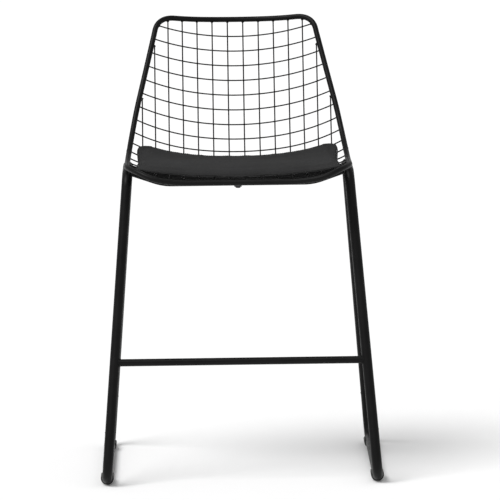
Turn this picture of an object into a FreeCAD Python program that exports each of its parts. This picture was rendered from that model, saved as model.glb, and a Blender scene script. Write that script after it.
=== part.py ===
# Counter-height metal stool: a bucket shell of welded wire in a bent rod rim,
# carried by two leaning side frames of round tube, with a loose seat pad.
# Millimetres. X runs to the right as seen from the front, Y to the back, Z up.
# The origin is on the floor in the middle of the base.
import FreeCAD, Part
import Sketcher
import math
import os

Vector = FreeCAD.Vector

# Driving sizes: name, value, meaning
SIZES = [
    ("leg_tube_dia", 22, "outer diameter of the side frame tube"),
    ("leg_tube_wall", 1.5, "wall of the side frame tube"),
    ("floor_half_span", 294, "middle of the stool to the axis of a runner"),
    ("top_half_span", 242.5, "middle of the stool to the axis of a side frame's top"),
    ("frame_top_height", 662, "floor to the axis of a side frame's top"),
    ("runner_reach", 278, "middle to the runner's corner, before it is rounded"),
    ("frame_top_reach", 90, "middle to the side frame's top corner, before it is rounded"),
    ("runner_bend", 36, "axis radius of the runner's bends"),
    ("frame_top_bend", 36, "axis radius of the side frame's top bends"),
    ("runner_upturn", 60, "straight length of runner above its bend, up to the leg seam"),
    ("footrest_dia", 16, "outer diameter of the footrest bar"),
    ("footrest_wall", 1.5, "wall of the footrest bar"),
    ("footrest_height", 263.5, "floor to the axis of the footrest bar"),
    ("cross_tube_dia", 12, "outer diameter of the tubes under the seat"),
    ("cross_tube_wall", 2, "wall of the tubes under the seat"),
    ("cross_tube_reach", 50, "middle to a cross tube, front or back"),
    ("cross_tube_flat", 165, "half length of the level middle of a cross tube"),
    ("cross_tube_bend", 120, "axis radius of a cross tube's bends"),
    ("glide_wall", 3, "wall of a glide under the runner"),
    ("glide_flat", 0.6, "depth of the flat worn sole of a glide"),
    ("glide_length", 44, "length of a glide along the runner"),
    ("glide_rise", 5, "how far a glide's jaws reach above the runner's axis"),
    ("rim_dia", 12, "diameter of the rod round the shell"),
    ("wire_dia", 3, "diameter of the mesh wires"),
    ("mesh_pitch", 34.6, "spacing of the long wires round the back's bow, middle to middle"),
    ("first_wire_gap", 39, "top rail to the first cross wire, at the middle"),
    ("last_wire_gap", 17.3, "front rim to the first cross wire behind it, at the middle"),
    ("cross_wires", 19, "how many wires cross the shell"),
    ("corner_back", 128, "middle of the base back to the corner of seat and back"),
    ("corner_drop", 11, "axis of a side frame's top down to the corner of seat and back"),
    ("seat_slope", 1.8, "degrees that the seat falls to the back"),
    ("back_recline", 21.5, "degrees that the back leans from upright"),
    ("shell_bend", 140, "radius of the bend between seat and back"),
    ("seat_depth", 356, "front rim to the corner of seat and back, at the middle"),
    ("front_fall_bend", 40, "radius of the seat's front edge where it turns down to the rim"),
    ("front_fall", 30, "degrees that the seat's front edge turns down"),
    ("seat_flat", 100, "half width of the level middle of the seat"),
    ("seat_bow", 390, "radius of the seat's sides where they curl up"),
    ("back_bow", 345, "radius of the back's hollow from side to side"),
    ("back_bow_tilt", 41, "degrees that the back's hollow faces above level"),
    ("seat_half_width", 242, "middle to the axis of the rim beside the seat"),
    ("top_half_width", 172, "middle to the top corner of the rim, before it is rounded"),
    ("back_reach", 342.5, "mesh length from the bend's middle to the top rail's bend point"),
    ("rail_dip", 33, "how much lower on the mesh the top corners are than the rail's bend point"),
    ("side_break", -22, "mesh place beside the seat where the rim starts to draw in"),
    ("top_corner_bend", 50, "bend radius of the rim's top corners"),
    ("side_bend", 1200, "bend radius where the rim draws in beside the seat"),
    ("front_corner_bend", 70, "bend radius of the rim's front corners"),
    ("rim_seam", -60, "mesh place beside the seat where the two rim rods meet"),
    ("block_width", 62, "width of a block between shell and cross tube"),
    ("block_depth", 36, "depth of a block between shell and cross tube"),
    ("front_block_height", 10.5, "thickness of the block over the front cross tube"),
    ("rear_block_height", 19, "thickness of the block over the rear cross tube"),
    ("bolt_dia", 6, "shank of a shell bolt"),
    ("bolt_head_dia", 11, "head of a shell bolt"),
    ("bolt_head_height", 3, "height of a shell bolt's head"),
    ("bolt_tip_gap", 0.5, "bolt tip below the top of its block"),
    ("washer_dia", 16, "diameter of a saddle washer"),
    ("washer_height", 2.2, "thickness of a saddle washer below its tube"),
    ("bolt_hole_play", 0.3, "radial play of a bolt in its tube and washer"),
    ("thread_play", 0.05, "radial play of a bolt in its block"),
    ("pad_half_width", 223, "half width of the seat pad at its seams"),
    ("pad_front_margin", 23, "front rim's axis to the pad's front seam, along the mesh"),
    ("pad_rear_place", -10, "mesh place of the pad's rear seam"),
    ("pad_draw", 3, "how far the pad's sides are drawn in between its corners"),
    ("pad_corner", 28, "corner radius of the pad, seen from above"),
    ("pad_crown", 21, "thickness of the pad at its middle"),
    ("pad_edge", 11, "thickness of the pad at its seams"),
    ("pad_bulge", 3, "how far the pad's sides swell past the seams"),
    ("pad_cloth", 1.5, "thickness of the pad's cover and base cloth"),
    ("pad_rest_gap", 0.5, "play between the pad and the wires"),
    ("cloth_play", 0.3, "play between the pad's cover and what it holds"),
    ("weld_gap", 0.1, "room left for the weld where wires, rods and tubes meet"),
]

doc = FreeCAD.newDocument("wire_stool")
sheet = doc.addObject("Spreadsheet::Sheet", "Sizes")
for row, (alias, value, meaning) in enumerate(SIZES, start=1):
    sheet.set("A%d" % row, alias)
    sheet.set("B%d" % row, str(value))
    sheet.set("C%d" % row, meaning)
    sheet.setAlias("B%d" % row, alias)
doc.recompute()


def size(alias):
    """A driving size from the sheet, in millimetres or degrees."""
    return float(sheet.get(alias))


# Bent rods and tubes

def rounded_path(points, radii):
    """Lines through the points, with a tangent arc at each inner point of the radius given for it."""
    edges = []
    start = points[0]
    for before, corner, after, radius in zip(points, points[1:], points[2:], radii):
        back_dir = (before - corner).normalize()
        on_dir = (after - corner).normalize()
        half_angle = back_dir.getAngle(on_dir) / 2
        reach = radius / math.tan(half_angle)
        middle = (back_dir + on_dir).normalize() * (radius / math.sin(half_angle) - radius)
        first = corner + back_dir * reach
        last = corner + on_dir * reach
        if (first - start).Length > 1e-6:
            edges.append(Part.LineSegment(start, first).toShape())
        edges.append(Part.Arc(first, corner + middle, last).toShape())
        start = last
    if (points[-1] - start).Length > 1e-6:
        edges.append(Part.LineSegment(start, points[-1]).toShape())
    return edges


def smooth_path(points):
    """Tangent arcs along a smooth curve through the points."""
    curve = Part.BSplineCurve()
    curve.interpolate(points)
    arc_tolerance = 0.02
    return [arc.toShape() for arc in curve.toBiArcs(arc_tolerance)]


def swept_rod(label, edges, radius_formula):
    """A round rod along a path of tangent edges, its radius bound to the sheet."""
    path = doc.addObject("Part::Feature", label + "_path")
    path.Shape = Part.Wire(edges)
    first = edges[0]
    section = doc.addObject("Part::Circle", label + "_section")
    section.setExpression("Radius", radius_formula)
    facing = FreeCAD.Rotation(Vector(0, 0, 1), first.tangentAt(first.FirstParameter))
    section.Placement = FreeCAD.Placement(first.valueAt(first.FirstParameter), facing)
    rod = doc.addObject("Part::Sweep", label)
    rod.Sections = [section]
    rod.Spine = (path, ["Edge%d" % number for number in range(1, len(edges) + 1)])
    rod.Solid = True
    rod.Frenet = False
    rod.Label = label
    return rod


def cut(label, base, tool):
    """Base less tool."""
    result = doc.addObject("Part::Cut", label)
    result.Base = base
    result.Tool = tool
    result.Label = label
    return result


def bent_tube(label, edges, dia_alias, wall_alias):
    """A round tube along a path, open at both ends."""
    outside = swept_rod(label + "_outside", edges, "Sizes.%s / 2" % dia_alias)
    inside = swept_rod(label + "_bore", edges, "Sizes.%s / 2 - Sizes.%s" % (dia_alias, wall_alias))
    return cut(label, outside, inside)


def round_bar(label, start, along, length, radius_formula):
    """A straight round bar from a point along a direction."""
    bar = doc.addObject("Part::Cylinder", label)
    bar.setExpression("Radius", radius_formula)
    bar.Height = length
    bar.Placement = FreeCAD.Placement(start, FreeCAD.Rotation(Vector(0, 0, 1), along))
    bar.Label = label
    return bar


# Side frames: a leg hoop that stands on a runner, both in one leaning plane

SIDES = (("left", -1), ("right", 1))
runner_height = size("leg_tube_dia") / 2 + size("weld_gap") + size("glide_wall") - size("glide_flat")


def frame_corner(side, end, top):
    """A corner of a side frame before it is rounded: side and end are -1 or 1."""
    if top:
        return Vector(side * size("top_half_span"), end * size("frame_top_reach"), size("frame_top_height"))
    return Vector(side * size("floor_half_span"), end * size("runner_reach"), runner_height)


def leg_seam(side, end):
    """The place on a leg where the hoop meets the runner's upturned end."""
    foot = frame_corner(side, end, False)
    up_leg = (frame_corner(side, end, True) - foot).normalize()
    half_angle = up_leg.getAngle(Vector(0, -end, 0)) / 2
    return foot + up_leg * (size("runner_bend") / math.tan(half_angle) + size("runner_upturn"))


def leg_point(side, end, height):
    """The point of a leg's axis at a height."""
    foot = frame_corner(side, end, False)
    top = frame_corner(side, end, True)
    return foot + (top - foot) * ((height - foot.z) / (top.z - foot.z))


nodes = []
for side_name, side in SIDES:
    seams = [leg_seam(side, end) for end in (-1, 1)]
    tops = [frame_corner(side, end, True) for end in (-1, 1)]
    feet = [frame_corner(side, end, False) for end in (-1, 1)]
    hoop_path = rounded_path([seams[0]] + tops + [seams[1]], [size("frame_top_bend")] * 2)
    runner_path = rounded_path([seams[0]] + feet + [seams[1]], [size("runner_bend")] * 2)
    nodes.append(bent_tube("leg_hoop_" + side_name, hoop_path, "leg_tube_dia", "leg_tube_wall"))
    nodes.append(bent_tube("runner_" + side_name, runner_path, "leg_tube_dia", "leg_tube_wall"))


def coped(label, tube, tools):
    """A tube with its ends cut to sit on the round tubes that it is welded to."""
    for number, tool in enumerate(tools, start=1):
        last = number == len(tools)
        tube = cut(label if last else "%s_cope_%d" % (label, number), tube, tool)
    return tube


cope_radius = "Sizes.leg_tube_dia / 2 + Sizes.weld_gap"

# Footrest between the front legs
footrest_ends = [leg_point(side, -1, size("footrest_height")) for side_name, side in SIDES]
footrest_path = [Part.LineSegment(*footrest_ends).toShape()]
footrest_tools = []
for side_name, side in SIDES:
    seam = leg_seam(side, -1)
    top = frame_corner(side, -1, True)
    footrest_tools.append(round_bar("footrest_cope_" + side_name, seam, top - seam, (top - seam).Length, cope_radius))
footrest_tube = bent_tube("footrest_tube", footrest_path, "footrest_dia", "footrest_wall")
nodes.append(coped("footrest_bar", footrest_tube, footrest_tools))


# The shell's surface, which holds the axes of the long wires and of the rim.
# A mesh place is an offset x from the middle and a length s along the mesh, which is zero
# at the middle of the bend, negative on the seat and positive on the back.

seat_slope = math.radians(size("seat_slope"))
recline = math.radians(size("back_recline"))
bow_tilt = math.radians(size("back_bow_tilt"))
turn = math.pi / 2 - recline + seat_slope
bend_reach = size("shell_bend") * math.tan(turn / 2)
bend_half = size("shell_bend") * turn / 2
corner = Vector(0, size("corner_back"), size("frame_top_height") - size("corner_drop"))
seat_dir = Vector(0, math.cos(seat_slope), -math.sin(seat_slope))
seat_up = Vector(0, math.sin(seat_slope), math.cos(seat_slope))
back_dir = Vector(0, math.sin(recline), math.cos(recline))
back_out = Vector(0, -math.cos(recline), math.sin(recline))
bow_dir = Vector(0, -math.cos(bow_tilt), math.sin(bow_tilt))
front_place = -(bend_half + size("seat_depth") - bend_reach)
fall_place = front_place + size("front_fall_bend") * math.radians(size("front_fall"))


def bow(offset, radius):
    """How far a round hollow has risen at an offset from its middle."""
    return radius - math.sqrt(radius ** 2 - offset ** 2)


def seat_bow(offset):
    """How far the seat has risen at an offset from the middle, level at first."""
    return bow(max(abs(offset) - size("seat_flat"), 0), size("seat_bow"))


def front_fall(place):
    """How far the seat's turned down front edge lies from the seat's plane."""
    run = max(fall_place - place, 0)
    radius = size("front_fall_bend")
    angle = run / radius
    return seat_dir * (run - radius * math.sin(angle)) - seat_up * (radius - radius * math.cos(angle))


def profile_point(length):
    """A point of the bent profile from its corner, at a length from the middle of its bend."""
    if length <= -bend_half:
        return seat_dir * (length + bend_half - bend_reach)
    if length >= bend_half:
        return back_dir * (length - bend_half + bend_reach)
    angle = (length + bend_half) / size("shell_bend")
    centre = seat_up * size("shell_bend") - seat_dir * bend_reach
    return centre + (seat_dir * math.sin(angle) - seat_up * math.cos(angle)) * size("shell_bend")


def corner_shift(offset):
    """How far the corner of seat and back moves where both planes have risen at an offset."""
    seat_rise = seat_bow(offset) * seat_up.z
    back_rise = bow(offset, size("back_bow")) * bow_dir.dot(back_out)
    scale = back_out.y * seat_up.z - back_out.z * seat_up.y
    shift_y = (back_rise * seat_up.z - seat_rise * back_out.z) / scale
    shift_z = (seat_rise * back_out.y - back_rise * seat_up.y) / scale
    return Vector(0, shift_y, shift_z)


def shell_point(offset, place):
    """The point of the shell's surface at a mesh place."""
    shift = corner_shift(offset)
    seat_run = (Vector(0, 0, seat_bow(offset)) - shift).dot(seat_dir)
    back_run = (bow_dir * bow(offset, size("back_bow")) - shift).dot(back_dir)
    share = min(max((place - front_place) / (bend_half - front_place), 0), 1)
    blend = share * share * (3 - 2 * share)
    length = place + seat_run * (1 - blend) + back_run * blend
    return corner + shift + profile_point(length) + front_fall(place) + Vector(offset, 0, 0)


def shell_normal(offset, place):
    """The surface's normal at a mesh place, on the sitter's side."""
    step = 0.5
    across = shell_point(offset + step, place) - shell_point(offset - step, place)
    along = shell_point(offset, place + step) - shell_point(offset, place - step)
    return across.cross(along).normalize()


def shell_offset(offset, place, height):
    """A point at a height over the surface, on the sitter's side."""
    return shell_point(offset, place) + shell_normal(offset, place) * height


# Rim: its outline on the mesh is a rounded polygon, split beside the seat into two rods

def rim_outline():
    """The right half of the rim's outline in mesh places, from the top's middle to the front's."""
    apex = Vector(0, size("back_reach"), 0)
    top_corner = Vector(size("top_half_width"), size("back_reach") - size("rail_dip"), 0)
    break_corner = Vector(size("seat_half_width"), size("side_break"), 0)
    front_corner = Vector(size("seat_half_width"), front_place, 0)
    mirror_corner = Vector(-top_corner.x, top_corner.y, 0)
    half_turn = apex.sub(top_corner).getAngle(break_corner.sub(top_corner)) / 2
    rail_run = (top_corner - apex).Length - size("top_corner_bend") / math.tan(half_turn)
    rail_half = (top_corner - apex).getAngle(mirror_corner - apex) / 2
    rail_bend = rail_run * math.tan(rail_half)
    rail_middle = Vector(0, apex.y - rail_bend / math.sin(rail_half) + rail_bend, 0)
    rail_end = apex + (top_corner - apex).normalize() * rail_run
    rail_angle = math.pi / 2 - rail_half
    rail_centre = rail_middle - Vector(0, rail_bend, 0)
    rail_quarter = rail_centre + Vector(math.sin(rail_angle / 2), math.cos(rail_angle / 2), 0) * rail_bend
    rail = Part.Arc(rail_middle, rail_quarter, rail_end).toShape()
    corners = [rail_end, top_corner, break_corner, front_corner, Vector(0, front_place, 0)]
    radii = [size("top_corner_bend"), size("side_bend"), size("front_corner_bend")]
    return Part.Wire([rail] + rounded_path(corners, radii))


rim_step = 4.0
outline = rim_outline()
outline_places = outline.discretize(Number=int(outline.Length / rim_step))
if outline_places[0].y < outline_places[-1].y:
    outline_places.reverse()


def rim_half(places, side):
    """Points of one half of the rim's axis, on the left or the right side."""
    return [shell_point(side * place.x, place.y) for place in places]


def place_between(before, after, level):
    """The outline's mesh place at a length along the mesh between two of its points."""
    share = (level - before.y) / (after.y - before.y)
    return before + (after - before) * share


seam_index = next(i for i, place in enumerate(outline_places) if place.y < size("rim_seam"))
seam_place = place_between(outline_places[seam_index - 1], outline_places[seam_index], size("rim_seam"))
back_places = outline_places[:seam_index] + [seam_place]
seat_places = [seam_place] + outline_places[seam_index:]


rim_skip = 4


def rim_rod(label, places, from_middle):
    """One of the two rods of the rim, from its left end to its right end."""
    thinned = places[::rim_skip]
    if (len(places) - 1) % rim_skip:
        thinned = thinned + [places[-1]]
    if not from_middle:
        thinned.reverse()
    left = rim_half(thinned, -1)
    right = rim_half(thinned, 1)
    return swept_rod(label, smooth_path(left[:0:-1] + right), "Sizes.rim_dia / 2")


nodes.append(rim_rod("back_hoop", back_places, True))
nodes.append(rim_rod("seat_hoop", seat_places, False))

rim_axis = rim_half(outline_places, 1)
rim_tangents = [(after - before).normalize() for before, after in zip(rim_axis, rim_axis[1:])]


def clear_of_rim(point, direction):
    """Whether a wire's flat end at a point stands clear of the rim, on the right side."""
    gaps = [(point - place).Length for place in rim_axis[:-1]]
    nearest = gaps.index(min(gaps))
    tangent = rim_tangents[nearest]
    away = point - rim_axis[nearest]
    away = away - tangent * away.dot(tangent)
    facing = min(abs(away.dot(direction)) / away.Length, 1)
    slant = math.sqrt(1 - facing ** 2)
    return away.Length >= (size("rim_dia") + size("wire_dia") * slant) / 2 + size("weld_gap")


def wire_end(place_at, inside, outside):
    """The parameter where a wire, from inside the shell to the rim's axis, meets the rim."""
    for halving in range(30):
        middle = (inside + outside) / 2
        direction = (place_at(middle) - place_at(middle - 0.5)).normalize()
        if clear_of_rim(place_at(middle), direction):
            inside = middle
        else:
            outside = middle
    return inside


def outline_at(key, level, value):
    """Where the rim's outline crosses a level of one mesh coordinate, as the other one."""
    for before, after in zip(outline_places, outline_places[1:]):
        low, high = sorted((key(before), key(after)))
        if low <= level <= high and high > low:
            share = (level - key(before)) / (key(after) - key(before))
            yield value(before) + (value(after) - value(before)) * share


# Long wires from the front rim up the back, in upright planes, evenly spaced round the back's bow

def long_wire_offset(number):
    """Offset of a long wire from the middle, counted from 1 outwards."""
    bow_angle = (number - 0.5) * size("mesh_pitch") / size("back_bow")
    return size("back_bow") * math.sin(bow_angle)


def even_steps(low, high, longest):
    """Evenly spaced values from low to high, with no step over the longest."""
    count = max(int(math.ceil((high - low) / longest)), 2)
    return [low + (high - low) * step / count for step in range(count + 1)]


def long_wire(label, offset, side):
    """A wire along the shell at an offset from the middle."""
    def place_at(place):
        return shell_point(offset, place)
    ends = sorted(outline_at(lambda p: p.x, offset, lambda p: p.y))
    middle = (ends[0] + ends[-1]) / 2
    low = wire_end(place_at, middle, ends[0])
    high = wire_end(place_at, middle, ends[-1])
    path = [shell_point(side * offset, place) for place in even_steps(low, high, size("mesh_pitch") / 2)]
    return swept_rod(label, smooth_path(path), "Sizes.wire_dia / 2")


long_count = 1
while long_wire_offset(long_count + 1) + size("rim_dia") < size("seat_half_width"):
    long_count += 1
for side_name, side in SIDES:
    for number in range(1, long_count + 1):
        label = "long_wire_%s_%d" % (side_name, number)
        nodes.append(long_wire(label, long_wire_offset(number), side))


# Cross wires behind the long ones, one wire thickness away

cross_depth = -(size("wire_dia") + size("weld_gap"))
rail_place = outline_places[0].y
first_place = rail_place - size("first_wire_gap")
cross_span = first_place - front_place - size("last_wire_gap")
cross_count = int(size("cross_wires"))
cross_pitch = cross_span / (cross_count - 1)


def cross_wire(label, place):
    """A wire across the shell at a length along the mesh."""
    def place_at(offset):
        return shell_offset(offset, place, cross_depth)
    rim_offset = max(outline_at(lambda p: p.y, place, lambda p: p.x))
    reach = wire_end(place_at, rim_offset / 2, rim_offset)
    path = [place_at(offset) for offset in even_steps(-reach, reach, size("mesh_pitch") / 2)]
    return swept_rod(label, smooth_path(path), "Sizes.wire_dia / 2")


for number in range(1, cross_count + 1):
    place = first_place - cross_pitch * (cross_count - number)
    nodes.append(cross_wire("cross_wire_%02d" % number, place))


# Under the seat: a cross tube at the front and one at the back, each with a block, a bolt and a washer

under_wires = size("wire_dia") / 2 - cross_depth + size("weld_gap")


def block_alias(end):
    """The name of the size that holds a block's thickness."""
    return "front_block_height" if end < 0 else "rear_block_height"


def block_drop(end):
    """Depth of a cross tube's axis below its block's top."""
    return size(block_alias(end)) + size("weld_gap") + size("cross_tube_dia") / 2


def block_seat(end):
    """The point under the wires where a block's top meets them, over a cross tube's axis."""
    lean = seat_up.y * (under_wires + block_drop(end))
    along = (end * size("cross_tube_reach") - corner.y + lean) / seat_dir.y
    return corner + seat_dir * along - seat_up * under_wires


def tube_height(end):
    """Height of the axis of a cross tube's level middle, under its block."""
    return block_seat(end).z - block_drop(end) * seat_up.z


def mounting_block(label, end):
    """A tapped block between the wires and a cross tube."""
    body = doc.addObject("PartDesign::Body", label)
    body.Label = label
    plane = next(item for item in body.Origin.OriginFeatures if item.Role == "XY_Plane")
    sketch = body.newObject("Sketcher::SketchObject", label + "_sketch")
    sketch.AttachmentSupport = (plane, [""])
    sketch.MapMode = "FlatFace"
    half_width = size("block_width") / 2
    half_depth = size("block_depth") / 2
    corners = [Vector(-half_width, -half_depth, 0), Vector(half_width, -half_depth, 0),
               Vector(half_width, half_depth, 0), Vector(-half_width, half_depth, 0)]
    for number in range(4):
        sketch.addGeometry(Part.LineSegment(corners[number], corners[(number + 1) % 4]))
    add_rectangle_constraints(sketch)
    hole = sketch.addGeometry(Part.Circle(Vector(0, 0, 0), Vector(0, 0, 1), size("bolt_dia") / 2))
    sketch.addConstraint(Sketcher.Constraint("Coincident", hole, 3, -1, 1))
    hole_size = sketch.addConstraint(Sketcher.Constraint("Radius", hole, size("bolt_dia") / 2))
    sketch.setExpression("Constraints[%d]" % hole_size, "Sizes.bolt_dia / 2 + Sizes.thread_play")
    pad = body.newObject("PartDesign::Pad", label + "_pad")
    pad.Profile = sketch
    pad.setExpression("Length", "Sizes." + block_alias(end))
    pad.Reversed = True
    tilt = FreeCAD.Rotation(Vector(1, 0, 0), -size("seat_slope"))
    body.Placement = FreeCAD.Placement(block_seat(end), tilt)
    return body


def add_rectangle_constraints(sketch):
    """Hold the sketch's first four lines as a rectangle about the origin, sized by the block's cells."""
    for number in range(4):
        sketch.addConstraint(Sketcher.Constraint("Coincident", number, 2, (number + 1) % 4, 1))
    for number, kind in enumerate(("Horizontal", "Vertical", "Horizontal", "Vertical")):
        sketch.addConstraint(Sketcher.Constraint(kind, number))
    sketch.addConstraint(Sketcher.Constraint("Symmetric", 0, 1, 2, 1, -1, 1))
    width = sketch.addConstraint(Sketcher.Constraint("DistanceX", 0, 1, 0, 2, size("block_width")))
    depth = sketch.addConstraint(Sketcher.Constraint("DistanceY", 1, 1, 1, 2, size("block_depth")))
    sketch.setExpression("Constraints[%d]" % width, "Sizes.block_width")
    sketch.setExpression("Constraints[%d]" % depth, "Sizes.block_depth")


def cross_tube(label, end):
    """A tube between the side frames, level under the seat, with a hole for its bolt."""
    reach = end * size("cross_tube_reach")
    level = tube_height(end)
    ends = [Vector(side * size("top_half_span"), reach, size("frame_top_height")) for side in (-1, 1)]
    bends = [Vector(side * size("cross_tube_flat"), reach, level) for side in (-1, 1)]
    path = rounded_path([ends[0]] + bends + [ends[1]], [size("cross_tube_bend")] * 2)
    tube = bent_tube(label + "_tube", path, "cross_tube_dia", "cross_tube_wall")
    tools = []
    for side_name, side in SIDES:
        start = Vector(side * size("top_half_span"), reach - size("leg_tube_dia"), size("frame_top_height"))
        name = "%s_cope_%s" % (label, side_name)
        tools.append(round_bar(name, start, Vector(0, 1, 0), 2 * size("leg_tube_dia"), cope_radius))
    start = bolt_point(end, -size("cross_tube_dia"))
    hole_radius = "Sizes.bolt_dia / 2 + Sizes.bolt_hole_play"
    tools.append(round_bar(label + "_bolt_hole", start, seat_up, 2 * size("cross_tube_dia"), hole_radius))
    return coped(label, tube, tools)


def bolt_point(end, height):
    """A point of a bolt's axis at a height over the cross tube's axis."""
    return block_seat(end) + seat_up * (height - block_drop(end))


def shell_bolt(label, end):
    """A bolt from under a cross tube into its block."""
    tube_radius = size("cross_tube_dia") / 2
    head_top = -(tube_radius + size("washer_height"))
    tip = block_drop(end) - size("bolt_tip_gap")
    head_start = bolt_point(end, head_top - size("bolt_head_height"))
    head = round_bar(label + "_head", head_start, seat_up, size("bolt_head_height"), "Sizes.bolt_head_dia / 2")
    shank = round_bar(label + "_shank", bolt_point(end, head_top), seat_up, tip - head_top, "Sizes.bolt_dia / 2")
    bolt = doc.addObject("Part::Fuse", label)
    bolt.Base = head
    bolt.Tool = shank
    return bolt


def saddle_washer(label, end):
    """A washer whose top is hollowed to sit on the round tube."""
    bottom = -(size("cross_tube_dia") / 2 + size("washer_height"))
    height = size("washer_height") + size("cross_tube_dia") / 4
    disc = round_bar(label + "_disc", bolt_point(end, bottom), seat_up, height, "Sizes.washer_dia / 2")
    tube_start = bolt_point(end, 0) - Vector(size("washer_dia"), 0, 0)
    tube = round_bar(label + "_seat", tube_start, Vector(1, 0, 0), 2 * size("washer_dia"),
                     "Sizes.cross_tube_dia / 2 + Sizes.weld_gap")
    hole = round_bar(label + "_hole", bolt_point(end, bottom), seat_up, height,
                     "Sizes.bolt_dia / 2 + Sizes.bolt_hole_play")
    return coped(label, disc, [tube, hole])


def group(label, members):
    """Identical pieces kept together as separate solids."""
    result = doc.addObject("Part::Compound", label)
    result.Links = members
    result.Label = label
    return result


ENDS = (("front", -1), ("rear", 1))
for end_name, end in ENDS:
    nodes.append(cross_tube(end_name + "_cross_tube", end))
    nodes.append(mounting_block(end_name + "_shell_block", end))
nodes.append(group("shell_bolts", [shell_bolt("bolt_" + name, end) for name, end in ENDS]))
nodes.append(group("saddle_washers", [saddle_washer("washer_" + name, end) for name, end in ENDS]))


# Glides: jaws that clip on the runner next to its bends, with a flat sole

def glide(label, side, end):
    """A glide on one end of a runner."""
    foot = frame_corner(side, end, False)
    up_leg = (frame_corner(side, end, True) - foot).normalize()
    half_angle = up_leg.getAngle(Vector(0, -end, 0)) / 2
    outer_end = size("runner_reach") - size("runner_bend") / math.tan(half_angle)
    middle = end * (outer_end - size("glide_length") / 2)
    start = Vector(foot.x, middle - size("glide_length") / 2, foot.z)
    sleeve_radius = "Sizes.leg_tube_dia / 2 + Sizes.weld_gap + Sizes.glide_wall"
    sleeve = round_bar(label + "_sleeve", start, Vector(0, 1, 0), size("glide_length"), sleeve_radius)
    bore = round_bar(label + "_bore", start, Vector(0, 1, 0), size("glide_length"), cope_radius)
    ring = cut(label + "_ring", sleeve, bore)
    keep = doc.addObject("Part::Box", label + "_jaws")
    keep.setExpression("Length", "Sizes.leg_tube_dia * 2")
    keep.setExpression("Width", "Sizes.glide_length")
    keep.Height = foot.z + size("glide_rise")
    keep.Placement.Base = Vector(foot.x - size("leg_tube_dia"), start.y, 0)
    result = doc.addObject("Part::Common", label)
    result.Base = ring
    result.Tool = keep
    result.Label = label
    return result


for end_name, end in ENDS:
    for side_name, side in SIDES:
        nodes.append(glide("glide_%s_%s" % (end_name, side_name), side, end))


# Seat pad: a crowned cushion that follows the wires, with drawn-in seams all round

pad_front = front_place + size("pad_front_margin")
pad_floor = size("wire_dia") / 2 + size("pad_rest_gap")


def pad_half(place, inset):
    """Half width of the pad at a length along the mesh, drawn in between its rounded corners."""
    radius = size("pad_corner") - inset
    middle = (pad_front + size("pad_rear_place")) / 2
    share = (place - middle) / (size("pad_rear_place") - middle)
    side = size("pad_half_width") - size("pad_draw") * (1 - share ** 2) - inset
    from_end = min(place - pad_front, size("pad_rear_place") - place) - inset
    if from_end >= radius:
        return side
    return side - radius + math.sqrt(radius ** 2 - (radius - max(from_end, 0)) ** 2)


def pad_bulge(height):
    """How far the pad's side swells past its seams at a height over the pad's floor."""
    half_edge = size("pad_edge") / 2
    return size("pad_bulge") * (1 - ((height - half_edge) / half_edge) ** 2)


def pad_section(place, inset, bottom, edge, swell):
    """One closed section of the pad across the shell, of four arcs in one tilted plane.

    The bottom and the edge are heights over the pad's floor, the swell is what the top gains at its middle.
    """
    half = pad_half(place, inset)
    from_end = min(place - pad_front, size("pad_rear_place") - place)
    depth = (size("pad_rear_place") - pad_front) / 2
    share = 1 - min(from_end / depth, 1)
    middle = edge + swell * (1 - share ** 4)
    floor_middle = shell_offset(0, place, pad_floor)
    floor_side = shell_offset(size("pad_half_width"), place, pad_floor)
    tilt = Vector(0, floor_side.y - floor_middle.y, floor_side.z - floor_middle.z).normalize()
    lift = tilt / tilt.dot(shell_normal(0, place))
    side_rise = (floor_side - floor_middle).dot(tilt) * (half / size("pad_half_width")) ** 2
    side = floor_middle + tilt * side_rise + Vector(half, 0, 0)
    heights = (bottom, (bottom + edge) / 2, edge)
    right = [side + lift * height + Vector(pad_bulge(height), 0, 0) for height in heights]
    left = [Vector(-point.x, point.y, point.z) for point in right]
    return Part.Wire([
        Part.Arc(left[0], floor_middle + lift * bottom, right[0]).toShape(),
        Part.Arc(*right).toShape(),
        Part.Arc(right[2], floor_middle + lift * middle, left[2]).toShape(),
        Part.Arc(left[2], left[1], left[0]).toShape(),
    ])


def pad_places(inset):
    """Mesh places of the pad's sections, closer together at its rounded ends."""
    corner_steps = [(size("pad_corner") - inset) * share for share in (0, 0.06, 0.22, 0.5, 1)]
    front = [pad_front + inset + step for step in corner_steps]
    rear = [size("pad_rear_place") - inset - step for step in reversed(corner_steps)]
    return front + even_steps(front[-1], rear[0], size("mesh_pitch"))[1:-1] + rear


def pad_solid(label, inset, bottom, edge, swell):
    """A loft along the pad through its sections."""
    sections = [pad_section(place, inset, bottom, edge, swell) for place in pad_places(inset)]
    solid = doc.addObject("Part::Feature", label)
    solid.Shape = Part.makeLoft(sections, True, True)
    solid.Label = label
    return solid


cloth = size("pad_cloth")
lining = cloth + size("cloth_play")
swell = size("pad_crown") - size("pad_edge")
pad_outside = pad_solid("pad_outside", 0, 0, size("pad_edge"), swell)
pad_hollow = pad_solid("pad_hollow", cloth, -cloth, size("pad_edge") - cloth, swell)
nodes.append(cut("pad_cover", pad_outside, pad_hollow))
nodes.append(pad_solid("pad_foam", lining, lining, size("pad_edge") - lining, swell))
nodes.append(pad_solid("pad_base", lining, 0, cloth, 0))

# Check every piece, then write it
doc.recompute()
faults = []
for item in doc.Objects:
    if "Invalid" in item.State or "Error" in item.State:
        faults.append("%s is %s" % (item.Label, item.State))
for node in nodes:
    if node.Shape.isNull() or not node.Shape.isValid() or not node.Shape.Solids:
        faults.append("%s has no valid solid" % node.Label)
if faults:
    raise RuntimeError("; ".join(faults))
os.makedirs("parts", exist_ok=True)
for node in nodes:
    node.Shape.exportStep("parts/%s.step" % node.Label)
print("%d nodes, %d long wires a side, %d cross wires" % (len(nodes), long_count, cross_count))
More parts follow.
